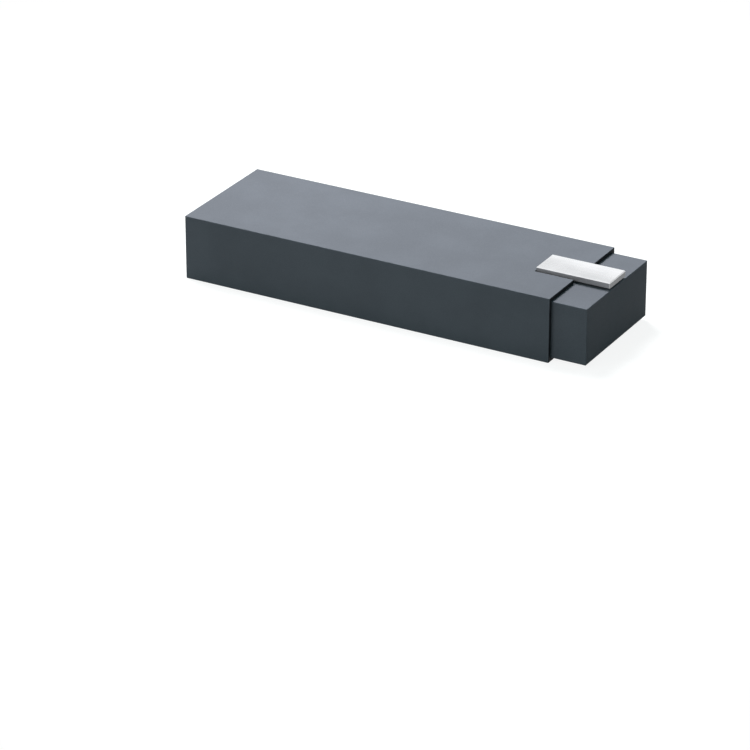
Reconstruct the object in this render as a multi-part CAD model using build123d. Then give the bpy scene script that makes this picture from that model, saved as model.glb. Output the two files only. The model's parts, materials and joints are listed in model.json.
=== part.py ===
from build123d import *
import os

# Sliding pen box: a paper-covered sleeve of rigid board, open at both ends, and a tray that slides
# in it. The front end of the tray is a solid-looking head with a metal plate on top, and the plate
# runs into a notch in the top of the sleeve, which stops the tray when the box is closed.
# Millimetres. +X points along the box to the head, +Y to the left, +Z up. The origin is under the
# middle of the closed box, on the surface that it lies on.

# Board and paper
sleeve_board = 1.2
tray_board = 1.2
cover_paper = 0.2
lining_paper = 0.2
fold_radius = 0.3
seam_gap = 0.1

# Tray
tray_length = 188.0
tray_width = 55.6
tray_height = 25.0
head_length = 34.2
rim_turn_in = 2.0
under_turn_in = 12.0

# Sleeve
head_shown = 15.9
side_clearance = 0.2
height_clearance = 0.2
end_turn_in = 12.0
underside_flange = 10.0

# Metal plate and the tape that holds it
plate_length = 33.5
plate_width = 14.5
plate_thickness = 2.5
plate_bevel = 0.4
plate_corner_radius = 0.4
plate_stop_gap = 0.2
plate_side_gap = 1.0
tape_inset = 1.8
tape_thickness = 1.0

# Pen bed
bed_depth = 8.5
bed_clearance = 0.3
velvet_thickness = 0.5
velvet_skirt = 8.0
groove_length = 143.0
groove_width = 13.0
groove_depth = 4.0
groove_wall_angle = 20.0

# Places that several pieces share
sleeve_wall = cover_paper + sleeve_board + lining_paper
tray_wall = cover_paper + tray_board + lining_paper
rear = -tray_length / 2
front = tray_length / 2
sleeve_front = front - head_shown
sleeve_width = tray_width + 2 * (side_clearance + sleeve_wall)
sleeve_height = tray_height + 2 * (height_clearance + sleeve_wall)
tray_bottom = sleeve_wall + height_clearance
tray_top = tray_bottom + tray_height
head_rear = front - head_length
plate_rear = front - plate_length
notch_rear = plate_rear - plate_stop_gap
notch_width = plate_width + 2 * plate_side_gap

Limits = tuple[float, float]


def block(x: Limits, y: Limits, z: Limits) -> Part:
    """A box between a low and a high limit along each axis."""
    middle = [(low + high) / 2 for low, high in (x, y, z)]
    size = [high - low for low, high in (x, y, z)]
    return Pos(*middle) * Box(*size)


def across(width: float) -> Limits:
    """The limits of a width centred on the box."""
    return (-width / 2, width / 2)


def mitred_board(outer_face: Plane, length: float, width: float, thickness: float, mitres: str) -> Part:
    """A board that lies on its outer face and faces inwards along the plane's normal.

    mitres names the edges cut back by 45 degrees, so that two boards meet in a sharp corner:
    l and r are the low and high ends of its length, and b and t those of its width.
    """
    low_x, high_x, low_y, high_y = (thickness if edge in mitres else 0.0 for edge in "lrbt")
    inner_place = Pos((low_x - high_x) / 2, (low_y - high_y) / 2, thickness)
    outer = outer_face * Rectangle(length, width)
    inner = outer_face * inner_place * Rectangle(length - low_x - high_x, width - low_y - high_y)
    return loft([outer, inner], ruled=True)


def folded_block(x: Limits, y: Limits, z: Limits) -> Part:
    """The outside of a covered box, whose edges are as round as folded paper."""
    box = block(x, y, z)
    return fillet(box.edges(), fold_radius)


def tapered_pocket(length: float, width: float, depth: float, top: float) -> Part:
    """The space in a pen groove: a pocket centred on the bed, with sloping sides and ends."""
    middle = (rear + tray_wall + head_rear) / 2
    mouth = Plane((middle, 0, top), z_dir=(0, 0, -1)) * Rectangle(length, width)
    return extrude(mouth, depth, taper=groove_wall_angle)


def sleeve_boards() -> dict[str, Part]:
    """Four boards, mitred along their long edges. The top one has the notch for the plate."""
    x = (rear + cover_paper, sleeve_front - cover_paper)
    length = x[1] - x[0]
    middle = (x[0] + x[1]) / 2
    width = sleeve_width - 2 * cover_paper
    height = sleeve_height - 2 * cover_paper
    top_face = Plane((middle, 0, sleeve_height - cover_paper), x_dir=(1, 0, 0), z_dir=(0, 0, -1))
    bottom_face = Plane((middle, 0, cover_paper), x_dir=(1, 0, 0), z_dir=(0, 0, 1))
    left_face = Plane((middle, width / 2, sleeve_height / 2), x_dir=(1, 0, 0), z_dir=(0, -1, 0))
    left = mitred_board(left_face, length, height, sleeve_board, "bt")
    return {
        "sleeve_top_board": mitred_board(top_face, length, width, sleeve_board, "bt")
        - notch_space(cover_paper),
        "sleeve_bottom_board": mitred_board(bottom_face, length, width, sleeve_board, "bt"),
        "sleeve_left_board": left,
        "sleeve_right_board": mirror(left, about=Plane.XZ),
    }


def notch_space(margin: float) -> Part:
    """The notch in the sleeve's top, larger all round by a margin that the covering paper fills."""
    x = (notch_rear - margin, sleeve_front + fold_radius)
    return block(x, across(notch_width + 2 * margin), (tray_top, sleeve_height + fold_radius))


def sleeve_papers() -> dict[str, Part]:
    """The covering, turned in at both ends and round the notch, and the lining between the turn-ins.

    The covering's long edges end under the box, where a base paper closes the gap between them.
    """
    x = (rear, sleeve_front)
    board_x = (rear + cover_paper, sleeve_front - cover_paper)
    board_z = (cover_paper, sleeve_height - cover_paper)
    inside = sleeve_wall - lining_paper
    inside_y = across(sleeve_width - 2 * inside)
    inside_z = (inside, sleeve_height - inside)
    bore = block(x, across(sleeve_width - 2 * sleeve_wall), (sleeve_wall, sleeve_height - sleeve_wall))
    lining_x = (rear + end_turn_in, sleeve_front - end_turn_in)

    skin = folded_block(x, across(sleeve_width), (0, sleeve_height))
    skin -= block(board_x, across(sleeve_width - 2 * cover_paper), board_z)
    inner_skin = block(board_x, inside_y, inside_z)
    skin = skin - block(x, inside_y, inside_z) + inner_skin
    skin -= block(lining_x, inside_y, inside_z)
    end_rims = block(x, inside_y, inside_z) - block(board_x, inside_y, inside_z)
    skin = skin + end_rims - bore
    notch_edges = notch_space(cover_paper) - notch_space(0.0)
    notch_edges &= block(x, inside_y, (sleeve_height - inside, sleeve_height - cover_paper))
    skin = skin - notch_space(0.0) + notch_edges

    under = block(x, across(sleeve_width - 2 * underside_flange), (0, sleeve_height / 2))
    under_clear = block(x, across(sleeve_width - 2 * (underside_flange - seam_gap)), (0, sleeve_height / 2))
    lining = block(lining_x, inside_y, inside_z) - bore
    return {
        "sleeve_cover_paper": skin - under_clear,
        "sleeve_base_paper": skin & under,
        "sleeve_lining_paper": lining - notch_space(0.0),
    }


def tray_boards() -> dict[str, Part]:
    """The base and four walls, mitred where they meet, and the two boards that close the head."""
    length = tray_length - 2 * cover_paper
    width = tray_width - 2 * cover_paper
    height = tray_height - 2 * cover_paper
    low = tray_bottom + cover_paper
    high = tray_top - cover_paper
    middle = (low + high) / 2
    base_face = Plane((0, 0, low), x_dir=(1, 0, 0), z_dir=(0, 0, 1))
    left_face = Plane((0, width / 2, middle), x_dir=(1, 0, 0), z_dir=(0, -1, 0))
    rear_face = Plane((-length / 2, 0, middle), x_dir=(0, 1, 0), z_dir=(1, 0, 0))
    front_face = Plane((length / 2, 0, middle), x_dir=(0, -1, 0), z_dir=(-1, 0, 0))
    left = mitred_board(left_face, length, height, tray_board, "lrb")

    between = across(width - 2 * tray_board)
    head_x = (head_rear + cover_paper, length / 2 - tray_board)
    partition_x = (head_x[0], head_x[0] + tray_board)
    return {
        "tray_base_board": mitred_board(base_face, length, width, tray_board, "lrbt"),
        "tray_left_wall": left,
        "tray_right_wall": mirror(left, about=Plane.XZ),
        "tray_rear_wall": mitred_board(rear_face, width, height, tray_board, "lrb"),
        "tray_front_wall": mitred_board(front_face, width, height, tray_board, "lrb"),
        "head_partition": block(partition_x, between, (low + tray_board, high - tray_board)),
        "head_top_board": block(head_x, between, (high - tray_board, high)),
    }


def tray_papers() -> dict[str, Part]:
    """The covering outside and over the rim, the paper on the head, and the black lining."""
    x = (rear, front)
    z = (tray_bottom, tray_top)
    paper_z = (tray_top - cover_paper, tray_top)
    board_x = (rear + cover_paper, front - cover_paper)
    board_y = across(tray_width - 2 * cover_paper)
    board_z = (tray_bottom + cover_paper, paper_z[0])
    inside = cover_paper + tray_board
    inside_x = (rear + inside, head_rear)
    inside_y = across(tray_width - 2 * inside)
    floor = tray_bottom + inside
    clear = block((rear + tray_wall, head_rear), across(tray_width - 2 * tray_wall),
                  (floor + lining_paper, tray_top))

    skin = folded_block(x, across(tray_width), z) - block(board_x, board_y, board_z)
    head_sheet = skin & block((head_rear, front), across(tray_width), paper_z)
    head_flap = block((head_rear, head_rear + cover_paper), inside_y, (floor, paper_z[0]))
    turn_in = block(inside_x, inside_y, (paper_z[0] - rim_turn_in, paper_z[0]))
    cover = skin - head_sheet + turn_in - clear
    under_y = tray_width - 2 * under_turn_in
    under_x = tray_length - 2 * under_turn_in
    under = block(across(under_x), across(under_y), (tray_bottom, floor))
    under_clear = block(across(under_x + 2 * seam_gap), across(under_y + 2 * seam_gap),
                        (tray_bottom, floor))
    return {
        "tray_cover_paper": cover - under_clear,
        "tray_base_paper": skin & under,
        "head_cover_paper": head_sheet + head_flap,
        "tray_lining_paper": block(inside_x, inside_y, (floor, paper_z[0] - rim_turn_in)) - clear,
    }


def pen_bed() -> dict[str, Part]:
    """A foam block with a groove for the pen, and the velvet stretched over it."""
    x = (rear + tray_wall + bed_clearance, head_rear - bed_clearance)
    width = tray_width - 2 * (tray_wall + bed_clearance)
    floor = tray_bottom + tray_wall
    top = tray_top - bed_depth
    foam_x = (x[0] + velvet_thickness, x[1] - velvet_thickness)
    foam_top = top - velvet_thickness
    foam_block = block(foam_x, across(width - 2 * velvet_thickness), (floor, foam_top))
    foam_groove = tapered_pocket(groove_length + 2 * velvet_thickness,
                                 groove_width + 2 * velvet_thickness, groove_depth, foam_top)
    velvet_groove = tapered_pocket(groove_length, groove_width, groove_depth, top)
    sheet = block(x, across(width), (top - velvet_skirt, top))
    sheet = fillet(sheet.edges().filter_by_position(Axis.Z, top, top), fold_radius)
    return {
        "pen_bed_foam": foam_block - foam_groove,
        "pen_bed_velvet": sheet - foam_block + foam_groove - velvet_groove,
    }


def metal_plate() -> dict[str, Part]:
    """The plate, flush with the head's front and bevelled round its top, and the tape under it."""
    middle = (front + plate_rear) / 2
    seat = Pos(middle, 0, tray_top)
    tape_size = (plate_length - 2 * tape_inset, plate_width - 2 * tape_inset)
    tape = extrude(seat * Rectangle(*tape_size), tape_thickness)
    outline = RectangleRounded(plate_length, plate_width, plate_corner_radius)
    plate = extrude(Pos(middle, 0, tray_top + tape_thickness) * outline, plate_thickness)
    plate = chamfer(plate.faces().sort_by(Axis.Z)[-1].edges(), plate_bevel)
    return {"plate_tape": tape, "metal_plate": plate}


pieces = {
    **sleeve_boards(),
    **sleeve_papers(),
    **tray_boards(),
    **tray_papers(),
    **pen_bed(),
    **metal_plate(),
}

os.makedirs("parts", exist_ok=True)
for name, piece in pieces.items():
    export_step(piece, f"parts/{name}.step")
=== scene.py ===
import json
import math

import bmesh
import bpy
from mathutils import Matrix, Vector


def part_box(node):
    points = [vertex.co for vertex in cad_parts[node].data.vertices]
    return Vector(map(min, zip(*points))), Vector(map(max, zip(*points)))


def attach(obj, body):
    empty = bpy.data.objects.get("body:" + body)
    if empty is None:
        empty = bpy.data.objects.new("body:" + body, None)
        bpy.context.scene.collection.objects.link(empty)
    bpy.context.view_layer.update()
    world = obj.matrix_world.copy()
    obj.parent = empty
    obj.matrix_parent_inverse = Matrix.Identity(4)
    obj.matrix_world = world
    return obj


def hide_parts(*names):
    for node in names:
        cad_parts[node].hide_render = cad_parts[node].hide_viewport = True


# Looks of the sliding pen box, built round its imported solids. Lengths are in metres.

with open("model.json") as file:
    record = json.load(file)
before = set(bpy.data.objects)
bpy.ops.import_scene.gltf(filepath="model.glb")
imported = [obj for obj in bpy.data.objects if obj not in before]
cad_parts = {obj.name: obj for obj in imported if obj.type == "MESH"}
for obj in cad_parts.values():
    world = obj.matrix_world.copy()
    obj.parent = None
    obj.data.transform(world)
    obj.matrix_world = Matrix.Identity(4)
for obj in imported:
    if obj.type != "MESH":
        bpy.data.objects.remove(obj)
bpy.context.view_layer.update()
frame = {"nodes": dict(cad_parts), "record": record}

# The photograph: its frame, and the camera that was fitted to the closed box in it
frame_pixels = 750
focal_pixels = 3861.0
camera_place = (0.7071, -1.2925, 0.6709)
camera_turn_degrees = 29.322
camera_tilt_degrees = 25.632
camera_nearest = 0.01
camera_furthest = 20.0
sensor_width_mm = 36.0

# Light: plain soft studio light. The overhead lamp stands high, behind the box and to its left,
# and the fill lamp off its right side. The weak light from all round is weakest from the front.
white = (1.0, 1.0, 1.0, 1.0)
ambient_strength = 0.32
ambient_front_share = 0.45
ambient_rear_share = 1.2
ambient_colour = (0.54, 1.0, 1.01, 1.0)
overhead_size = (0.45, 0.40)
overhead_place = (-0.40, 0.25, 0.9)
overhead_power = 18.0
fill_size = (0.9, 0.6)
fill_place = (-0.5, -1.3, 0.75)
fill_power = 4.6

# Floor: a disc that fades to white, with one grey for what is seen and one for light that bounces
floor_radius = 3.0
floor_sides = 96
floor_fade_start = 0.16
floor_fade_end = 0.42
floor_view_grey = 0.20
floor_view_glow = 0.88
floor_bounce_grey = 0.15

# Colours, linear
paper_colour = (0.129, 0.134, 0.154)
lining_colour = (0.0075, 0.0085, 0.0125)
board_colour = (0.26, 0.25, 0.23)
velvet_colour = (0.0065, 0.0080, 0.0120)
velvet_sheen = (0.34, 0.38, 0.46, 1.0)
tape_colour = (0.012, 0.012, 0.013)
plate_colour = (0.92, 0.93, 0.95)

# Noise: the values between which most of it lies
usual_noise = (0.3, 0.7)

# A pair that ends in _facing says how squarely a face looks along its axis where a change of tone
# starts and ends.

# Covering paper: wear along its folds with a painted highlight there, the painted shade on the
# sleeve's front rim, and how deep the inner faces lie under the outer ones. Inside, shown_turn_in is
# what the lining leaves bare of the turned-in paper.
wear_and_highlight_gain = 0.20
wear_and_highlight_reach = (0.0002, 0.0009)
rim_shade_facing = (0.6, 0.9)
sleeve_rim_painted_shade = 0.2
inner_face_depth = 0.0015
inner_face_blur = 0.0002
shown_turn_in = 0.0020
shown_turn_in_blur = 0.0001

# Plate: painted reflection on its top, and painted shade on its sides and ends. The painted
# reflection across the top changes between two places in its width, measured at one place along
# its length, and slants along it.
top_near_reflection = 0.87
top_far_reflection = 1.05
reflection_places = (-0.0040, 0.0050)
reflection_turns_at = 0.077
reflection_slant = 0.16
top_facing = (0.75, 0.95)
side_painted_shade = 0.46
side_shade_facing = (0.2, 0.6)
end_painted_shade = 0.5
end_shade_facing = (0.5, 0.9)
bevel_roughness = 0.56
top_polish = (0.24, 0.32)

# Pen bed. Each side row is a share of the way down with its share of the tuck.
groove_length = 0.143
groove_width = 0.013
groove_depth = 0.0040
groove_corner = 0.0060
groove_slope = 0.0052
bed_crown = 0.0005
bed_edge_radius = 0.0022
bed_edge_degrees = (0, 20, 40, 60, 75)
bed_side_tuck = 0.0003
bed_side_rows = ((0.33, 0.7), (0.67, 1.0), (1.0, 0.6))
bed_step = 0.0010


class Graph:
    """A node tree in the making. Its calls add nodes, link them and return what they put out."""

    def __init__(self, tree):
        self.tree = tree
        tree.nodes.clear()

    def add(self, kind, inputs, output=0, **settings):
        node = self.tree.nodes.new(kind)
        for name, value in settings.items():
            setattr(node, name, value)
        for key, value in inputs.items():
            if isinstance(value, bpy.types.NodeSocket):
                self.tree.links.new(value, node.inputs[key])
            else:
                node.inputs[key].default_value = value
        return node.outputs[output]

    def math(self, operation, a, b=0.0):
        return self.add("ShaderNodeMath", {0: a, 1: b}, operation=operation)

    def product(self, first, *others):
        for other in others:
            first = self.math("MULTIPLY", first, other)
        return first

    def separate(self, vector):
        """The three parts of a vector."""
        parts = self.tree.nodes.new("ShaderNodeSeparateXYZ")
        self.tree.links.new(vector, parts.inputs[0])
        return parts.outputs

    def position(self, stretch=(1.0, 1.0, 1.0)):
        """Places on the object at rest, in metres, so that a pattern moves with its body."""
        place = self.add("ShaderNodeTexCoord", {}, "Object")
        return self.add("ShaderNodeVectorMath", {0: place, 1: stretch}, operation="MULTIPLY")

    def facing(self, axis):
        """How squarely the surface faces along an axis of the body: 1, or -1 the other way."""
        return self.separate(self.add("ShaderNodeTexCoord", {}, "Normal"))[axis]

    def noise(self, per_metre, stretch=(1.0, 1.0, 1.0), detail=3.0, rough=0.55):
        place = self.position(stretch)
        inputs = {"Vector": place, "Scale": per_metre, "Detail": detail, "Roughness": rough}
        return self.add("ShaderNodeTexNoise", inputs)

    def fade(self, value, start, end, low=0.0, high=1.0):
        """A smooth step from low to high as value goes from start to end."""
        inputs = {"Value": value, "From Min": start, "From Max": end, "To Min": low, "To Max": high}
        return self.add("ShaderNodeMapRange", inputs, interpolation_type="SMOOTHSTEP")

    def spread(self, noise, low, high):
        """The usual range of a noise, spread from low to high."""
        return self.fade(noise, *usual_noise, low, high)

    def tint(self, colour, strength):
        """A colour made lighter or darker by a factor that varies over the surface."""
        return self.add("ShaderNodeVectorMath", {0: colour, "Scale": strength}, operation="SCALE")

    def bump(self, height, depth, normal=None):
        inputs = {"Height": height, "Distance": depth, "Strength": 1.0}
        if normal is not None:
            inputs["Normal"] = normal
        return self.add("ShaderNodeBump", inputs)

    def surface(self, **inputs):
        """A principled surface. An underscore in an input's name stands for a space."""
        named = {name.replace("_", " "): value for name, value in inputs.items()}
        self.put_out(self.add("ShaderNodeBsdfPrincipled", named))

    def put_out(self, shader, kind="ShaderNodeOutputMaterial"):
        output = self.tree.nodes.new(kind)
        self.tree.links.new(shader, output.inputs["Surface"])


def new_graph(name):
    material = bpy.data.materials.new(name)
    material.use_nodes = True
    return material, Graph(material.node_tree)


def face_depths(graph, low, high):
    """How deep a point lies under the faces of a box, along each axis."""
    place = graph.separate(graph.position())
    depths = []
    for axis in range(3):
        middle = (low[axis] + high[axis]) / 2
        half = (high[axis] - low[axis]) / 2
        offset = graph.math("ABSOLUTE", graph.math("SUBTRACT", place[axis], middle))
        depths.append(graph.math("SUBTRACT", half, offset))
    return depths


def edge_distance(graph, depths):
    """How far a point on the faces of a box lies from the nearest edge of that box."""
    smaller = graph.math("MINIMUM", depths[0], depths[1])
    larger = graph.math("MAXIMUM", depths[0], depths[1])
    return graph.math("MAXIMUM", smaller, graph.math("MINIMUM", larger, depths[2]))


def lined_share(graph, depths, mouth_axis):
    """1 on the inner faces further in than the bare turned-in edge, and 0 elsewhere."""
    across = [depth for axis, depth in enumerate(depths) if axis != mouth_axis]
    shallowest = graph.math("MINIMUM", *across)
    inner = graph.fade(shallowest, inner_face_depth - inner_face_blur, inner_face_depth)
    bare_end = shown_turn_in - shown_turn_in_blur
    lining_start = shown_turn_in + shown_turn_in_blur
    return graph.product(inner, graph.fade(depths[mouth_axis], bare_end, lining_start))


def cover_paper(name, low, high, mouth_axis, front_rim_painted_shade=1.0):
    """Matt charcoal paper, cloudy and finely fibrous, a little lighter near each fold, for wear and
    a painted highlight.

    Further in than the turned-in edge, along mouth_axis, the black lining covers it on the inner
    faces. Its last argument paints shade on the narrow rim at the front end.
    """
    material, graph = new_graph(name)
    clouds = graph.noise(per_metre=45.0)
    grain = graph.noise(per_metre=2400.0, detail=4.0, rough=0.65)
    fibres = graph.noise(per_metre=5200.0, stretch=(0.18, 1.0, 1.0), detail=2.0)
    wear_and_highlight_noise = graph.noise(per_metre=260.0)

    shade = graph.product(
        graph.spread(clouds, low=0.95, high=1.05),
        graph.fade(grain, start=0.25, end=0.75, low=0.93, high=1.07),
        graph.fade(fibres, start=0.60, end=0.85, low=1.0, high=1.25),
    )
    depths = face_depths(graph, low, high)
    # Lighter near each fold: partly wear, partly a painted highlight where the edge catches light.
    reach = graph.spread(wear_and_highlight_noise, *wear_and_highlight_reach)
    from_fold = graph.math("DIVIDE", edge_distance(graph, depths), reach)
    fold_wear_and_highlight = graph.fade(from_fold, start=0.0, end=1.0, low=wear_and_highlight_gain, high=0.0)
    # Painted shade: the rim at the sleeve's front end is darkened where it faces forward.
    rim = graph.fade(graph.facing(0), *rim_shade_facing, low=1.0, high=front_rim_painted_shade)
    shade = graph.product(graph.math("ADD", shade, fold_wear_and_highlight), rim)

    lined = lined_share(graph, depths, mouth_axis)
    bare = graph.math("SUBTRACT", 1.0, lined)
    paper = graph.tint(paper_colour, graph.product(shade, bare))
    lining = graph.tint(lining_colour, lined)
    graph.surface(
        Base_Color=graph.add("ShaderNodeVectorMath", {0: paper, 1: lining}, operation="ADD"),
        Roughness=graph.spread(clouds, low=0.50, high=0.58),
        Specular_IOR_Level=0.03,
        Normal=graph.bump(fibres, depth=0.000015, normal=graph.bump(grain, depth=0.000025)),
    )
    return material


def lining_paper():
    """Thin black paper with a faint cloudiness and a finer grain than the covering."""
    material, graph = new_graph("lining_paper")
    clouds = graph.noise(per_metre=70.0)
    grain = graph.noise(per_metre=3000.0, detail=4.0, rough=0.6)
    shade = graph.product(
        graph.spread(clouds, low=0.85, high=1.15),
        graph.spread(grain, low=0.9, high=1.1),
    )
    graph.surface(
        Base_Color=graph.tint(lining_colour, shade),
        Roughness=graph.spread(clouds, low=0.60, high=0.70),
        Specular_IOR_Level=0.22,
        Normal=graph.bump(grain, depth=0.00002),
    )
    return material


def grey_board():
    """Recycled board with darker and lighter flecks and a layered edge."""
    material, graph = new_graph("grey_board")
    clouds = graph.noise(per_metre=90.0)
    flecks = graph.noise(per_metre=1500.0, stretch=(0.4, 0.4, 1.0), rough=0.7)
    shade = graph.product(
        graph.spread(clouds, low=0.9, high=1.1),
        graph.fade(flecks, start=0.35, end=0.7, low=0.75, high=1.2),
    )
    graph.surface(
        Base_Color=graph.tint(board_colour, shade),
        Roughness=graph.spread(flecks, low=0.80, high=0.92),
        Specular_IOR_Level=0.2,
        Normal=graph.bump(flecks, depth=0.00006),
    )
    return material


def foam_tape():
    """Black closed-cell foam."""
    material, graph = new_graph("foam_tape")
    cells = graph.add("ShaderNodeTexVoronoi", {"Vector": graph.position(), "Scale": 3500.0})
    shade = graph.fade(cells, start=0.0, end=0.7, low=0.7, high=1.4)
    graph.surface(
        Base_Color=graph.tint(tape_colour, shade),
        Roughness=graph.fade(cells, start=0.0, end=0.7, low=0.75, high=0.88),
        Specular_IOR_Level=0.25,
        Normal=graph.bump(cells, depth=0.00008),
    )
    return material


def brushed_metal():
    """Aluminium with fine brush lines along its length.

    Its top carries a painted reflection, from grey-white at the right inner corner to white at the
    left outer one, and its sides and ends carry painted shade, darker than the top and the bevel.
    """
    material, graph = new_graph("brushed_metal")
    lines = graph.noise(per_metre=9000.0, stretch=(0.012, 1.0, 1.0), rough=0.6)
    bands = graph.noise(per_metre=1400.0, stretch=(0.03, 1.0, 1.0), detail=2.0)
    clouds = graph.noise(per_metre=60.0, detail=2.0)

    x, y, _ = graph.separate(graph.position())
    # Painted reflection: across its width the top goes from grey-white to white, slanting along it.
    slant = graph.product(graph.math("SUBTRACT", x, reflection_turns_at), reflection_slant)
    across = graph.math("ADD", y, slant)
    painted_top_reflection = graph.fade(across, *reflection_places, low=top_near_reflection, high=top_far_reflection)
    top = graph.fade(graph.facing(2), *top_facing)
    endwards = graph.math("ABSOLUTE", graph.facing(0))
    # Painted shade: the sides and ends are darker than the top by how they face.
    shade = graph.product(
        graph.spread(lines, low=0.99, high=1.01),
        graph.spread(bands, low=0.98, high=1.01),
        graph.spread(clouds, low=0.93, high=1.02),
        graph.fade(graph.facing(2), *side_shade_facing, low=side_painted_shade, high=1.0),
        graph.fade(top, start=0.0, end=1.0, low=1.0, high=painted_top_reflection),
        graph.fade(endwards, *end_shade_facing, low=1.0, high=end_painted_shade),
    )
    polish = graph.product(top, graph.spread(bands, *top_polish))
    graph.surface(
        Base_Color=graph.tint(plate_colour, shade),
        Metallic=1.0,
        Roughness=graph.math("SUBTRACT", bevel_roughness, polish),
        Normal=graph.bump(lines, depth=0.0000015),
    )
    return material


def velvet():
    """Near-black navy velvet: a short pile that shades where it is brushed."""
    material, graph = new_graph("velvet")
    pile = graph.noise(per_metre=4200.0, detail=4.0, rough=0.7)
    brushed = graph.noise(per_metre=55.0, stretch=(0.5, 1.0, 1.0), rough=0.6)
    shade = graph.product(
        graph.fade(pile, start=0.25, end=0.75, low=0.6, high=1.4),
        graph.fade(brushed, start=0.35, end=0.65, low=0.8, high=1.3),
    )
    graph.surface(
        Base_Color=graph.tint(velvet_colour, shade),
        Roughness=graph.spread(brushed, low=0.80, high=0.92),
        Specular_IOR_Level=0.1,
        Sheen_Weight=0.55,
        Sheen_Roughness=0.32,
        Sheen_Tint=velvet_sheen,
        Normal=graph.bump(pile, depth=0.00012),
    )
    return material


def dress_nodes():
    """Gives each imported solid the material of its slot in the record, apart from the pen bed's."""
    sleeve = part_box("sleeve_cover_paper")
    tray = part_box("tray_cover_paper")
    finishes = {
        "grey_board": grey_board(),
        "lining_paper": lining_paper(),
        "foam_tape": foam_tape(),
        "brushed_metal": brushed_metal(),
    }
    covers = {
        "sleeve": cover_paper("cover_paper_sleeve", *sleeve, 0, front_rim_painted_shade=sleeve_rim_painted_shade),
        "tray": cover_paper("cover_paper_tray", *tray, 2),
    }
    bodies = frame["record"]["behaviour"]["bodies"]
    body_of = {node: body for body, nodes in bodies.items() for node in nodes}
    for part in frame["record"]["subparts"]:
        node = part["node"]
        slot = part["material_slot"]
        material = covers[body_of[node]] if slot == "cover_paper" else finishes.get(slot)
        if material is not None:
            for place in frame["nodes"][node].material_slots:
                place.material = material


def add_object(name, mesh, material):
    """Puts a finished mesh in the scene, in one material."""
    data = bpy.data.meshes.new(name)
    mesh.to_mesh(data)
    mesh.free()
    data.materials.append(material)
    added = bpy.data.objects.new(name, data)
    bpy.context.scene.collection.objects.link(added)
    return added


def groove_fall(x, y):
    """How far the bed's surface lies below its top in the groove, a long rounded hollow."""
    reach_x = abs(x) - groove_length / 2 + groove_corner
    reach_y = abs(y) - groove_width / 2 + groove_corner
    outside = math.hypot(max(reach_x, 0.0), max(reach_y, 0.0))
    inside = min(max(reach_x, reach_y), 0.0)
    depth_in = groove_corner - outside - inside
    share = min(max(depth_in / groove_slope, 0.0), 1.0)
    return groove_depth * share * share * (3 - 2 * share)


def rolled_edge_fall(distance):
    """How far the top has fallen where the cloth rolls over the edge of the bed."""
    if distance >= bed_edge_radius:
        return 0.0
    return bed_edge_radius - math.sqrt(bed_edge_radius**2 - (bed_edge_radius - distance) ** 2)


def bed_height(x, y, half_x, half_y):
    """The height of the bed over its crown's top, for a point measured from the bed's middle."""
    crown = bed_crown * (1 - (y / half_y) ** 2) * (1 - (x / half_x) ** 4)
    edge = min(half_x - abs(x), half_y - abs(y))
    return crown - bed_crown - groove_fall(x, y) - rolled_edge_fall(edge)


def steps_across(half):
    """Places from one edge to the other, closer together where the cloth rolls over the edge."""
    turns = [bed_edge_radius * (1 - math.cos(math.radians(turn))) for turn in bed_edge_degrees]
    inner = half - bed_edge_radius
    count = round(2 * inner / bed_step)
    flat = [-inner + 2 * inner * i / count for i in range(count + 1)]
    low = [-half + turn for turn in turns]
    return low + flat + [-place for place in reversed(low)]


def pen_bed():
    """The velvet-covered foam: a closed form with a soft groove, rolled edges and tucked sides."""
    low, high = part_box("pen_bed_velvet")
    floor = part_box("pen_bed_foam")[0].z
    middle_x = (low.x + high.x) / 2
    half_x = (high.x - low.x) / 2
    half_y = (high.y - low.y) / 2
    xs = steps_across(half_x)
    ys = steps_across(half_y)
    mesh = bmesh.new()
    grid = [
        [mesh.verts.new((middle_x + x, y, high.z + bed_height(x, y, half_x, half_y))) for y in ys]
        for x in xs
    ]
    for left, right in zip(grid, grid[1:]):
        for a, b, c, d in zip(left, right, right[1:], left[1:]):
            mesh.faces.new((a, b, c, d))

    last = len(ys) - 1
    rim = grid[0][:last] + [row[last] for row in grid[:-1]]
    rim += grid[-1][:0:-1] + [row[0] for row in grid[:0:-1]]
    above = rim
    edge_height = rim[0].co.z
    for share, tuck in bed_side_rows:
        keep_x = 1 - bed_side_tuck * tuck / half_x
        keep_y = 1 - bed_side_tuck * tuck / half_y
        height = edge_height + (floor - edge_height) * share
        below = [
            mesh.verts.new((middle_x + (v.co.x - middle_x) * keep_x, v.co.y * keep_y, height))
            for v in rim
        ]
        for i, vert in enumerate(above):
            following = (i + 1) % len(above)
            mesh.faces.new((vert, above[following], below[following], below[i]))
        above = below
    mesh.faces.new(above)
    bmesh.ops.recalc_face_normals(mesh, faces=mesh.faces)
    for face in mesh.faces:
        face.smooth = True

    bed = add_object("pen_bed", mesh, velvet())
    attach(bed, "tray")
    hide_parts("pen_bed_foam", "pen_bed_velvet")


def seen_directly(graph):
    """1 for what the camera, a reflection or a clear material shows, 0 for light that bounces."""
    path = graph.tree.nodes.new("ShaderNodeLightPath")
    seen = graph.math("MAXIMUM", path.outputs["Is Camera Ray"], path.outputs["Is Glossy Ray"])
    return graph.math("MAXIMUM", seen, path.outputs["Is Transmission Ray"])


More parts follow.
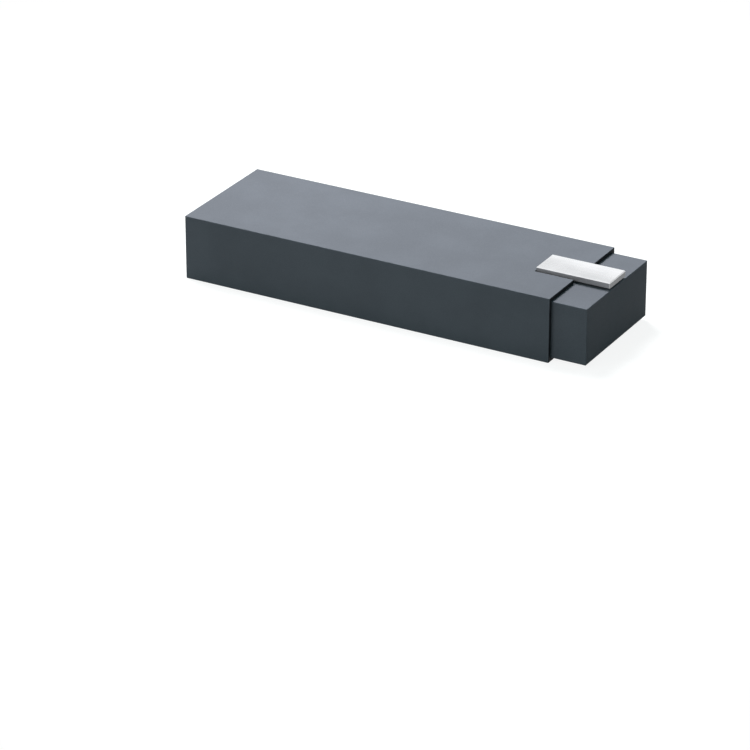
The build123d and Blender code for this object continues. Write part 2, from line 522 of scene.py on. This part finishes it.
def floor():
    """A pale floor that keeps a soft shadow near the box and fades to white further out."""
    material, graph = new_graph("floor")
    seen = seen_directly(graph)
    distance = graph.add("ShaderNodeVectorMath", {0: graph.position()}, "Value", operation="LENGTH")
    grey = graph.fade(seen, start=0.0, end=1.0, low=floor_bounce_grey, high=floor_view_grey)
    matt = graph.add("ShaderNodeBsdfDiffuse", {"Color": grey})
    glow = graph.add("ShaderNodeEmission", {"Color": white, "Strength": floor_view_glow})
    near = graph.add("ShaderNodeAddShader", {0: matt, 1: glow})
    far = graph.add("ShaderNodeEmission", {"Color": white, "Strength": 1.0})
    out = graph.fade(distance, floor_fade_start, floor_fade_end)
    shown = graph.add("ShaderNodeMixShader", {0: out, 1: near, 2: far})
    bounce = graph.add("ShaderNodeBsdfDiffuse", {"Color": grey})
    graph.put_out(graph.add("ShaderNodeMixShader", {0: seen, 1: bounce, 2: shown}))

    mesh = bmesh.new()
    bmesh.ops.create_circle(mesh, cap_ends=True, segments=floor_sides, radius=floor_radius)
    plane = add_object("floor", mesh, material)


def backdrop():
    """White all round where it is seen, and otherwise a weak light, weakest from the front."""
    world = bpy.data.worlds.new("studio")
    bpy.context.scene.world = world
    world.use_nodes = True
    graph = Graph(world.node_tree)
    seen = seen_directly(graph)
    forward = graph.separate(graph.add("ShaderNodeTexCoord", {}, "Generated"))[0]
    share = graph.fade(forward, -1.0, 1.0, ambient_rear_share, ambient_front_share)
    strength = graph.product(share, ambient_strength)
    weak = graph.add("ShaderNodeBackground", {"Color": ambient_colour, "Strength": strength})
    shown = graph.add("ShaderNodeBackground", {"Color": white, "Strength": 1.0})
    mixed = graph.add("ShaderNodeMixShader", {0: seen, 1: weak, 2: shown})
    graph.put_out(mixed, "ShaderNodeOutputWorld")


def soft_light(name, place, size, power):
    """A soft rectangular lamp that shines towards the box and isn't seen itself."""
    light = bpy.data.lights.new(name, "AREA")
    light.shape = "RECTANGLE"
    light.size, light.size_y = size
    light.energy = power
    lamp = bpy.data.objects.new(name, light)
    lamp.location = place
    lamp.rotation_euler = (-Vector(place)).to_track_quat("-Z", "Y").to_euler()
    lamp.visible_camera = False
    lamp.visible_glossy = False
    bpy.context.scene.collection.objects.link(lamp)


def camera():
    """The camera at the photograph's angle, with its lens."""
    data = bpy.data.cameras.new("camera")
    data.sensor_width = sensor_width_mm
    data.lens = sensor_width_mm * focal_pixels / frame_pixels
    data.clip_start = camera_nearest
    data.clip_end = camera_furthest
    tilt = math.radians(90 - camera_tilt_degrees)
    turn = math.radians(camera_turn_degrees)
    view = bpy.data.objects.new("camera", data)
    view.location = camera_place
    view.rotation_euler = (tilt, 0.0, turn)
    bpy.context.scene.collection.objects.link(view)
    bpy.context.scene.camera = view


camera()
backdrop()
floor()
soft_light("overhead", overhead_place, overhead_size, overhead_power)
soft_light("fill", fill_place, fill_size, fill_power)
dress_nodes()
pen_bed()
bpy.context.scene.view_settings.view_transform = "Standard"
